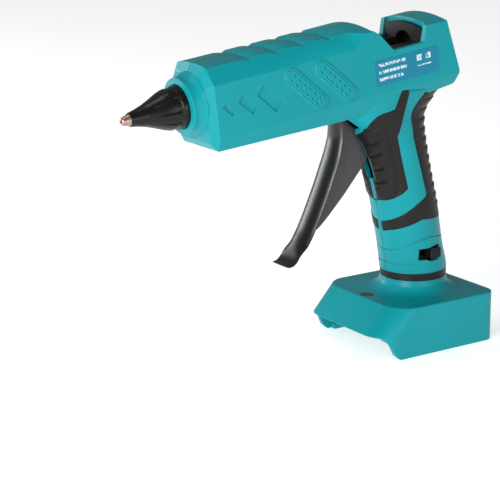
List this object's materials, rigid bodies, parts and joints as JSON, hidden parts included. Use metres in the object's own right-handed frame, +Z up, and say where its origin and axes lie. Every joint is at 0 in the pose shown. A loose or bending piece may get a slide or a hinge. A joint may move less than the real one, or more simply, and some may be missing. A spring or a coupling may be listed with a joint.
{
  "type": "cordless glue gun",
  "caption": "Cordless hot glue gun: faceted barrel with heated nozzle, stick window, sprung trigger with stick feed, rubber-gripped handle, slide switch and slide-on battery foot.",
  "frame": {"origin": "on the surface the battery foot stands on, under the middle of the part's length and width", "axes": "+Z up, nozzle points along -X, +Y is the side with the screw heads"},
  "size_m": [0.2296, 0.075, 0.1929],
  "materials": {
    "teal_plastic": "satin moulded plastic with a fine texture",
    "grip_rubber": "matt soft-touch rubber",
    "black_plastic": "satin black moulded plastic",
    "lens_plastic": "dark polished lens",
    "contact_metal": "plain",
    "screw_steel": "zinc plated",
    "trigger_plastic": "semi-gloss dark grey moulded plastic",
    "board_laminate": "solder mask",
    "nozzle_metal": "plated and heat tinted",
    "sleeve_silicone": "satin heat-proof silicone",
    "cast_aluminium": "as cast",
    "heater_ceramic": "matt",
    "insulation_board": "fibre board",
    "inlet_silicone": "matt silicone",
    "feed_plastic": "natural nylon",
    "label_film": "printed film"
  },
  "bodies": {
    "gun_body": {"housing_left": "teal_plastic", "housing_right": "teal_plastic", "battery_foot": "teal_plastic", "nose_collar": "teal_plastic", "grip_front_left": "grip_rubber", "grip_front_right": "grip_rubber", "grip_rear": "grip_rubber", "handle_band": "black_plastic", "indicator_lens": "lens_plastic", "indicator_led": "lens_plastic", "terminal_block": "black_plastic", "terminal_blades": "contact_metal", "foot_screws": "screw_steel", "housing_screws": "screw_steel", "trigger_pivot_pin": "screw_steel", "trigger_spring": "screw_steel", "switch_body": "black_plastic", "control_board": "board_laminate", "board_components": "black_plastic", "nozzle": "nozzle_metal", "nozzle_sleeve": "sleeve_silicone", "heating_chamber": "cast_aluminium", "heater_element": "heater_ceramic", "heater_clip": "screw_steel", "chamber_ring_front": "insulation_board", "chamber_ring_rear": "insulation_board", "inlet_sleeve": "inlet_silicone", "sleeve_clamp": "screw_steel", "rear_guide": "black_plastic", "carriage_rail": "feed_plastic", "rating_label": "label_film"},
    "trigger": {"trigger": "trigger_plastic"},
    "carriage": {"feed_carriage": "feed_plastic", "pawl_pin": "screw_steel"},
    "pawl": {"grip_pawl": "screw_steel"},
    "switch_slider": {"switch_knob": "black_plastic"}
  },
  "joints": [
    {"name": "trigger_pull", "type": "hinge", "parent": "gun_body", "child": "trigger", "pos_m": [0.0208, 0, 0.14609], "axis": [0, -1, 0], "range_deg": [0, 22], "stiffness_Nm_per_rad": 0.25, "springref_deg": -17.19},
    {"name": "carriage_feed", "type": "slide", "parent": "gun_body", "child": "carriage", "axis": [-0.9923, 0, -0.1236], "range_m": [0, 0.0083]},
    {"name": "pawl_bite", "type": "hinge", "parent": "carriage", "child": "pawl", "pos_m": [0.028, 0, 0.15867], "axis": [0, 1, 0], "range_deg": [0, 5.1]},
    {"name": "switch_slide", "type": "slide", "parent": "gun_body", "child": "switch_slider", "axis": [-1, 0, 0], "range_m": [0, 0.0066]}
  ],
  "couplings": [
    {"joint": "carriage_feed", "follows": "trigger_pull", "m_per_rad": 0.02146},
    {"joint": "pawl_bite", "follows": "trigger_pull", "ratio": 0.2272}
  ]
}
